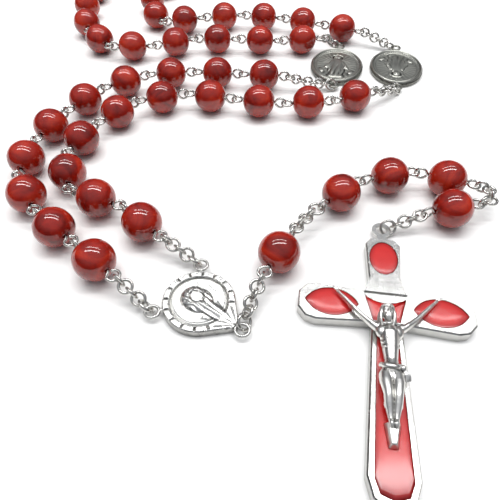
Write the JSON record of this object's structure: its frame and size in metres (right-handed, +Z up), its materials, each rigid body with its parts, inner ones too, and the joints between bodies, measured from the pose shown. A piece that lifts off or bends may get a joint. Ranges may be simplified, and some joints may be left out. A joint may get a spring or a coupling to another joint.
{
  "type": "rosary",
  "caption": "Laid-out rosary: round red glass beads on wire eye pins in five decades, oval medals between, a round three-way centrepiece and a red enamelled crucifix.",
  "frame": {"origin": "centre of the bounding box, on the table the rosary lies on", "axes": "+Z up off the table, +Y from the crucifix towards the far end of the loop, +X to the viewer's right"},
  "size_m": [0.1168, 0.2024, 0.008],
  "materials": {
    "red_bead": "glossy",
    "silver_wire": "bright",
    "cast_silver": "satin",
    "antique_silver": "oxidised satin",
    "red_enamel": "glossy"
  },
  "bodies": {
    "base": {"centrepiece": "cast_silver", "centrepiece_rings": "silver_wire"},
    "right_links": {"right_links": "silver_wire"},
    "decade_1_bead_1": {"decade_1_bead_1": "red_bead"},
    "decade_1_bead_2": {"decade_1_bead_2": "red_bead"},
    "decade_1_bead_3": {"decade_1_bead_3": "red_bead"},
    "decade_1_bead_4": {"decade_1_bead_4": "red_bead"},
    "decade_1_bead_5": {"decade_1_bead_5": "red_bead"},
    "decade_1_bead_6": {"decade_1_bead_6": "red_bead"},
    "decade_1_bead_7": {"decade_1_bead_7": "red_bead"},
    "decade_1_bead_8": {"decade_1_bead_8": "red_bead"},
    "decade_1_bead_9": {"decade_1_bead_9": "red_bead"},
    "decade_1_bead_10": {"decade_1_bead_10": "red_bead"},
    "medal_1": {"medal_1": "antique_silver"},
    "decade_2_pair_1": {"decade_2_pair_1": "red_bead"},
    "decade_2_pair_2": {"decade_2_pair_2": "red_bead"},
    "decade_2_pair_3": {"decade_2_pair_3": "red_bead"},
    "decade_2_pair_4": {"decade_2_pair_4": "red_bead"},
    "decade_2_pair_5": {"decade_2_pair_5": "red_bead"},
    "medal_2": {"medal_2": "antique_silver"},
    "decade_3a_pair_1": {"decade_3a_pair_1": "red_bead"},
    "left_links": {"left_links": "silver_wire"},
    "decade_5_bead_1": {"decade_5_bead_1": "red_bead"},
    "decade_5_bead_2": {"decade_5_bead_2": "red_bead"},
    "decade_5_bead_3": {"decade_5_bead_3": "red_bead"},
    "decade_5_bead_4": {"decade_5_bead_4": "red_bead"},
    "decade_5_bead_5": {"decade_5_bead_5": "red_bead"},
    "decade_5_bead_6": {"decade_5_bead_6": "red_bead"},
    "decade_5_bead_7": {"decade_5_bead_7": "red_bead"},
    "decade_5_bead_8": {"decade_5_bead_8": "red_bead"},
    "decade_5_bead_9": {"decade_5_bead_9": "red_bead"},
    "decade_5_bead_10": {"decade_5_bead_10": "red_bead"},
    "medal_4": {"medal_4": "antique_silver"},
    "decade_4_pair_1": {"decade_4_pair_1": "red_bead"},
    "decade_4_pair_2": {"decade_4_pair_2": "red_bead"},
    "decade_4_pair_3": {"decade_4_pair_3": "red_bead"},
    "decade_4_pair_4": {"decade_4_pair_4": "red_bead"},
    "decade_4_pair_5": {"decade_4_pair_5": "red_bead"},
    "medal_3": {"medal_3": "antique_silver"},
    "decade_3b_pair_1": {"decade_3b_pair_1": "red_bead"},
    "decade_3b_pair_2": {"decade_3b_pair_2": "red_bead"},
    "decade_3b_pair_3": {"decade_3b_pair_3": "red_bead"},
    "decade_3b_pair_4": {"decade_3b_pair_4": "red_bead"},
    "pendant_links_1": {"pendant_links_1": "silver_wire"},
    "pendant_pin_1": {"pendant_pin_1": "silver_wire"},
    "pendant_links_2": {"pendant_links_2": "silver_wire"},
    "pendant_pin_2": {"pendant_pin_2": "silver_wire"},
    "pendant_pin_3": {"pendant_pin_3": "silver_wire"},
    "pendant_pin_4": {"pendant_pin_4": "silver_wire"},
    "pendant_links_3": {"pendant_links_3": "silver_wire"},
    "pendant_pin_5": {"pendant_pin_5": "silver_wire"},
    "crucifix_links": {"crucifix_links": "silver_wire"},
    "pendant_bead_1": {"pendant_bead_1": "red_bead"},
    "pendant_bead_2": {"pendant_bead_2": "red_bead"},
    "pendant_bead_3": {"pendant_bead_3": "red_bead"},
    "pendant_bead_4": {"pendant_bead_4": "red_bead"},
    "pendant_bead_5": {"pendant_bead_5": "red_bead"},
    "crucifix": {"cross_frame": "cast_silver", "enamel_inlays": "red_enamel", "corpus": "antique_silver"}
  },
  "joints": [
    {"name": "right_links_pitch", "type": "hinge", "parent": "base", "child": "right_links", "pos_m": [-0.01276, -0.05845, 0.00207], "axis": [0.5, 0.866, 0], "range_deg": [-40, 40]},
    {"name": "decade_1_bead_1_pitch", "type": "hinge", "parent": "right_links", "child": "decade_1_bead_1", "pos_m": [-0.01773, -0.05572, 0.004], "axis": [-0.682, -0.7314, 0], "range_deg": [-40, 40]},
    {"name": "decade_1_bead_2_pitch", "type": "hinge", "parent": "decade_1_bead_1", "child": "decade_1_bead_2", "pos_m": [-0.02671, -0.04695, 0.004], "axis": [0.3746, 0.9272, 0], "range_deg": [-40, 40]},
    {"name": "decade_1_bead_3_pitch", "type": "hinge", "parent": "decade_1_bead_2", "child": "decade_1_bead_3", "pos_m": [-0.03882, -0.04274, 0.004], "axis": [-0.9613, -0.2756, 0], "range_deg": [-40, 40]},
    {"name": "decade_1_bead_4_pitch", "type": "hinge", "parent": "decade_1_bead_3", "child": "decade_1_bead_4", "pos_m": [-0.04279, -0.03069, 0.004], "axis": [0.9272, -0.3746, 0], "range_deg": [-40, 40]},
    {"name": "decade_1_bead_5_pitch", "type": "hinge", "parent": "decade_1_bead_4", "child": "decade_1_bead_5", "pos_m": [-0.03834, -0.01895, 0.004], "axis": [-0.7431, 0.6691, 0], "range_deg": [-40, 40]},
    {"name": "decade_1_bead_6_pitch", "type": "hinge", "parent": "decade_1_bead_5", "child": "decade_1_bead_6", "pos_m": [-0.03021, -0.00928, 0.004], "axis": [0.2588, -0.9659, 0], "range_deg": [-40, 40]},
    {"name": "decade_1_bead_7_pitch", "type": "hinge", "parent": "decade_1_bead_6", "child": "decade_1_bead_7", "pos_m": [-0.01815, -0.00567, 0.004], "axis": [0.2079, 0.9781, 0], "range_deg": [-40, 40]},
    {"name": "decade_1_bead_8_pitch", "type": "hinge", "parent": "decade_1_bead_7", "child": "decade_1_bead_8", "pos_m": [-0.00593, -0.00831, 0.004], "axis": [-0.1564, -0.9877, 0], "range_deg": [-40, 40]},
    {"name": "decade_1_bead_9_pitch", "type": "hinge", "parent": "decade_1_bead_8", "child": "decade_1_bead_9", "pos_m": [0.00641, -0.01047, 0.004], "axis": [-0.1045, 0.9945, 0], "range_deg": [-40, 40]},
    {"name": "decade_1_bead_10_pitch", "type": "hinge", "parent": "decade_1_bead_9", "child": "decade_1_bead_10", "pos_m": [0.01889, -0.00938, 0.004], "axis": [0.3746, -0.9272, 0], "range_deg": [-40, 40]},
    {"name": "medal_1_pitch", "type": "hinge", "parent": "decade_1_bead_10", "child": "medal_1", "pos_m": [0.03051, -0.00478, 0.0039], "axis": [-0.4695, 0.8829, 0], "range_deg": [-40, 40]},
    {"name": "decade_2_pair_1_pitch", "type": "hinge", "parent": "medal_1", "child": "decade_2_pair_1", "pos_m": [0.03246, 0.02746, 0.004], "axis": [0.3907, 0.9205, 0], "range_deg": [-40, 40]},
    {"name": "decade_2_pair_2_pitch", "type": "hinge", "parent": "decade_2_pair_1", "child": "decade_2_pair_2", "pos_m": [0.00926, 0.03679, 0.004], "axis": [-0.1736, -0.9848, 0], "range_deg": [-40, 40]},
    {"name": "decade_2_pair_3_pitch", "type": "hinge", "parent": "decade_2_pair_2", "child": "decade_2_pair_3", "pos_m": [-0.01545, 0.03757, 0.004], "axis": [-0.2588, 0.9659, 0], "range_deg": [-40, 40]},
    {"name": "decade_2_pair_4_pitch", "type": "hinge", "parent": "decade_2_pair_3", "child": "decade_2_pair_4", "pos_m": [-0.03463, 0.04415, 0.004], "axis": [-0.9945, 0.1045, 0], "range_deg": [-40, 40]},
    {"name": "decade_2_pair_5_pitch", "type": "hinge", "parent": "decade_2_pair_4", "child": "decade_2_pair_5", "pos_m": [-0.02877, 0.06828, 0.004], "axis": [0.6428, -0.766, 0], "range_deg": [-40, 40]},
    {"name": "medal_2_pitch", "type": "hinge", "parent": "decade_2_pair_5", "child": "medal_2", "pos_m": [-0.00709, 0.07881, 0.00383], "axis": [-0.2419, 0.9703, 0], "range_deg": [-40, 40]},
    {"name": "decade_3a_pair_1_pitch", "type": "hinge", "parent": "medal_2", "child": "decade_3a_pair_1", "pos_m": [0.02463, 0.08087, 0.004], "axis": [-0.2756, -0.9613, 0], "range_deg": [-40, 40]},
    {"name": "left_links_pitch", "type": "hinge", "parent": "base", "child": "left_links", "pos_m": [-0.0204, -0.06856, 0.00206], "axis": [-0.6157, -0.788, 0], "range_deg": [-40, 40]},
    {"name": "decade_5_bead_1_pitch", "type": "hinge", "parent": "left_links", "child": "decade_5_bead_1", "pos_m": [-0.02485, -0.06507, 0.004], "axis": [0.6561, 0.7547, 0], "range_deg": [-40, 40]},
    {"name": "decade_5_bead_2_pitch", "type": "hinge", "parent": "decade_5_bead_1", "child": "decade_5_bead_2", "pos_m": [-0.03429, -0.05687, 0.004], "axis": [-0.6561, -0.7547, 0], "range_deg": [-40, 40]},
    {"name": "decade_5_bead_3_pitch", "type": "hinge", "parent": "decade_5_bead_2", "child": "decade_5_bead_3", "pos_m": [-0.0439, -0.04882, 0.004], "axis": [0.848, 0.5299, 0], "range_deg": [-40, 40]},
    {"name": "decade_5_bead_4_pitch", "type": "hinge", "parent": "decade_5_bead_3", "child": "decade_5_bead_4", "pos_m": [-0.05096, -0.03834, 0.004], "axis": [-0.9998, 0.0174, 0], "range_deg": [-40, 40]},
    {"name": "decade_5_bead_5_pitch", "type": "hinge", "parent": "decade_5_bead_4", "child": "decade_5_bead_5", "pos_m": [-0.05101, -0.02579, 0.004], "axis": [0.9336, -0.3584, 0], "range_deg": [-40, 40]},
    {"name": "decade_5_bead_6_pitch", "type": "hinge", "parent": "decade_5_bead_5", "child": "decade_5_bead_6", "pos_m": [-0.0467, -0.01404, 0.004], "axis": [-0.829, 0.5592, 0], "range_deg": [-40, 40]},
    {"name": "decade_5_bead_7_pitch", "type": "hinge", "parent": "decade_5_bead_6", "child": "decade_5_bead_7", "pos_m": [-0.03995, -0.00342, 0.004], "axis": [0.515, -0.8572, 0], "range_deg": [-40, 40]},
    {"name": "decade_5_bead_8_pitch", "type": "hinge", "parent": "decade_5_bead_7", "child": "decade_5_bead_8", "pos_m": [-0.02934, 0.00334, 0.004], "axis": [-0.1045, 0.9945, 0], "range_deg": [-40, 40]},
    {"name": "decade_5_bead_9_pitch", "type": "hinge", "parent": "decade_5_bead_8", "child": "decade_5_bead_9", "pos_m": [-0.01691, 0.00481, 0.004], "axis": [-0.0872, -0.9962, 0], "range_deg": [-40, 40]},
    {"name": "decade_5_bead_10_pitch", "type": "hinge", "parent": "decade_5_bead_9", "child": "decade_5_bead_10", "pos_m": [-0.00446, 0.00373, 0.004], "axis": [0.1045, 0.9945, 0], "range_deg": [-40, 40]},
    {"name": "medal_4_pitch", "type": "hinge", "parent": "decade_5_bead_10", "child": "medal_4", "pos_m": [0.00798, 0.0025, 0.00392], "axis": [-0.2079, -0.9781, 0], "range_deg": [-40, 40]},
    {"name": "decade_4_pair_1_pitch", "type": "hinge", "parent": "medal_4", "child": "decade_4_pair_1", "pos_m": [0.02036, 0.0238, 0.004], "axis": [0.1219, -0.9925, 0], "range_deg": [-40, 40]},
    {"name": "decade_4_pair_2_pitch", "type": "hinge", "parent": "decade_4_pair_1", "child": "decade_4_pair_2", "pos_m": [-0.0045, 0.02325, 0.004], "axis": [0.0174, 0.9998, 0], "range_deg": [-40, 40]},
    {"name": "decade_4_pair_3_pitch", "type": "hinge", "parent": "decade_4_pair_2", "child": "decade_4_pair_3", "pos_m": [-0.02874, 0.01924, 0.004], "axis": [0.0349, -0.9994, 0], "range_deg": [-40, 40]},
    {"name": "decade_4_pair_4_pitch", "type": "hinge", "parent": "decade_4_pair_3", "child": "decade_4_pair_4", "pos_m": [-0.04982, 0.02759, 0.004], "axis": [0.9511, 0.309, 0], "range_deg": [-40, 40]},
    {"name": "decade_4_pair_5_pitch", "type": "hinge", "parent": "decade_4_pair_4", "child": "decade_4_pair_5", "pos_m": [-0.05511, 0.05189, 0.004], "axis": [-0.9945, 0.1045, 0], "range_deg": [-40, 40]},
    {"name": "medal_3_pitch", "type": "hinge", "parent": "decade_4_pair_5", "child": "medal_3", "pos_m": [-0.04831, 0.07545, 0.00382], "axis": [0.829, -0.5592, 0], "range_deg": [-40, 40]},
    {"name": "decade_3b_pair_1_pitch", "type": "hinge", "parent": "medal_3", "child": "decade_3b_pair_1", "pos_m": [-0.02136, 0.0913, 0.004], "axis": [-0.225, 0.9744, 0], "range_deg": [-40, 40]},
    {"name": "decade_3b_pair_2_pitch", "type": "hinge", "parent": "decade_3b_pair_1", "child": "decade_3b_pair_2", "pos_m": [0.00315, 0.09619, 0.004], "axis": [0.0698, -0.9976, 0], "range_deg": [-40, 40]},
    {"name": "decade_3b_pair_3_pitch", "type": "hinge", "parent": "decade_3b_pair_2", "child": "decade_3b_pair_3", "pos_m": [0.02812, 0.09738, 0.004], "axis": [0.0523, 0.9986, 0], "range_deg": [-40, 40]},
    {"name": "decade_3b_pair_4_pitch", "type": "hinge", "parent": "decade_3b_pair_3", "child": "decade_3b_pair_4", "pos_m": [0.05228, 0.09176, 0.004], "axis": [-0.9455, -0.3256, 0], "range_deg": [-40, 40]},
    {"name": "pendant_links_1_pitch", "type": "hinge", "parent": "base", "child": "pendant_links_1", "pos_m": [-0.00221, -0.07137, 0.0019], "axis": [0.9511, -0.309, 0], "range_deg": [-40, 40]},
    {"name": "pendant_pin_1_pitch", "type": "hinge", "parent": "pendant_links_1", "child": "pendant_pin_1", "pos_m": [0.00043, -0.06457, 0.004], "axis": [-0.866, 0.5, 0], "range_deg": [-40, 40]},
    {"name": "pendant_links_2_pitch", "type": "hinge", "parent": "pendant_pin_1", "child": "pendant_links_2", "pos_m": [0.00661, -0.0537, 0.004], "axis": [0.809, -0.5878, 0], "range_deg": [-40, 40]},
    {"name": "pendant_pin_2_pitch", "type": "hinge", "parent": "pendant_links_2", "child": "pendant_pin_2", "pos_m": [0.01272, -0.04672, 0.004], "axis": [-0.6561, 0.7547, 0], "range_deg": [-40, 40]},
    {"name": "pendant_pin_3_pitch", "type": "hinge", "parent": "pendant_pin_2", "child": "pendant_pin_3", "pos_m": [0.02241, -0.03902, 0.004], "axis": [0.2419, -0.9703, 0], "range_deg": [-40, 40]},
    {"name": "pendant_pin_4_pitch", "type": "hinge", "parent": "pendant_pin_3", "child": "pendant_pin_4", "pos_m": [0.03451, -0.03667, 0.004], "axis": [0.3256, 0.9455, 0], "range_deg": [-40, 40]},
    {"name": "pendant_links_3_pitch", "type": "hinge", "parent": "pendant_pin_4", "child": "pendant_links_3", "pos_m": [0.04623, -0.04095, 0.004], "axis": [-0.5, -0.866, 0], "range_deg": [-40, 40]},
    {"name": "pendant_pin_5_pitch", "type": "hinge", "parent": "pendant_links_3", "child": "pendant_pin_5", "pos_m": [0.04529, -0.04594, 0.004], "axis": [0.225, -0.9744, 0], "range_deg": [-40, 40]},
    {"name": "crucifix_links_pitch", "type": "hinge", "parent": "pendant_pin_5", "child": "crucifix_links", "pos_m": [0.03312, -0.04874, 0.00388], "axis": [-0.2419, 0.9703, 0], "range_deg": [-40, 40]},
    {"name": "pendant_bead_1_spin", "type": "hinge", "parent": "pendant_pin_1", "child": "pendant_bead_1", "pos_m": [0.00376, -0.05881, 0.004], "axis": [0.5, 0.866, 0], "continuous": true},
    {"name": "pendant_bead_2_spin", "type": "hinge", "parent": "pendant_pin_2", "child": "pendant_bead_2", "pos_m": [0.01713, -0.04288, 0.004], "axis": [0.7547, 0.6561, 0], "continuous": true},
    {"name": "pendant_bead_3_spin", "type": "hinge", "parent": "pendant_pin_3", "child": "pendant_bead_3", "pos_m": [0.02809, -0.0376, 0.004], "axis": [0.9703, 0.2419, 0], "continuous": true},
    {"name": "pendant_bead_4_spin", "type": "hinge", "parent": "pendant_pin_4", "child": "pendant_bead_4", "pos_m": [0.04004, -0.03858, 0.004], "axis": [0.9455, -0.3256, 0], "continuous": true},
    {"name": "pendant_bead_5_spin", "type": "hinge", "parent": "pendant_pin_5", "child": "pendant_bead_5", "pos_m": [0.03881, -0.04744, 0.004], "axis": [-0.9744, -0.225, 0], "continuous": true},
    {"name": "crucifix_swing", "type": "hinge", "parent": "crucifix_links", "child": "crucifix", "pos_m": [0.02448, -0.05089, 0.0012], "axis": [-0.9903, 0.1392, 0], "range_deg": [0, 40]}
  ]
}
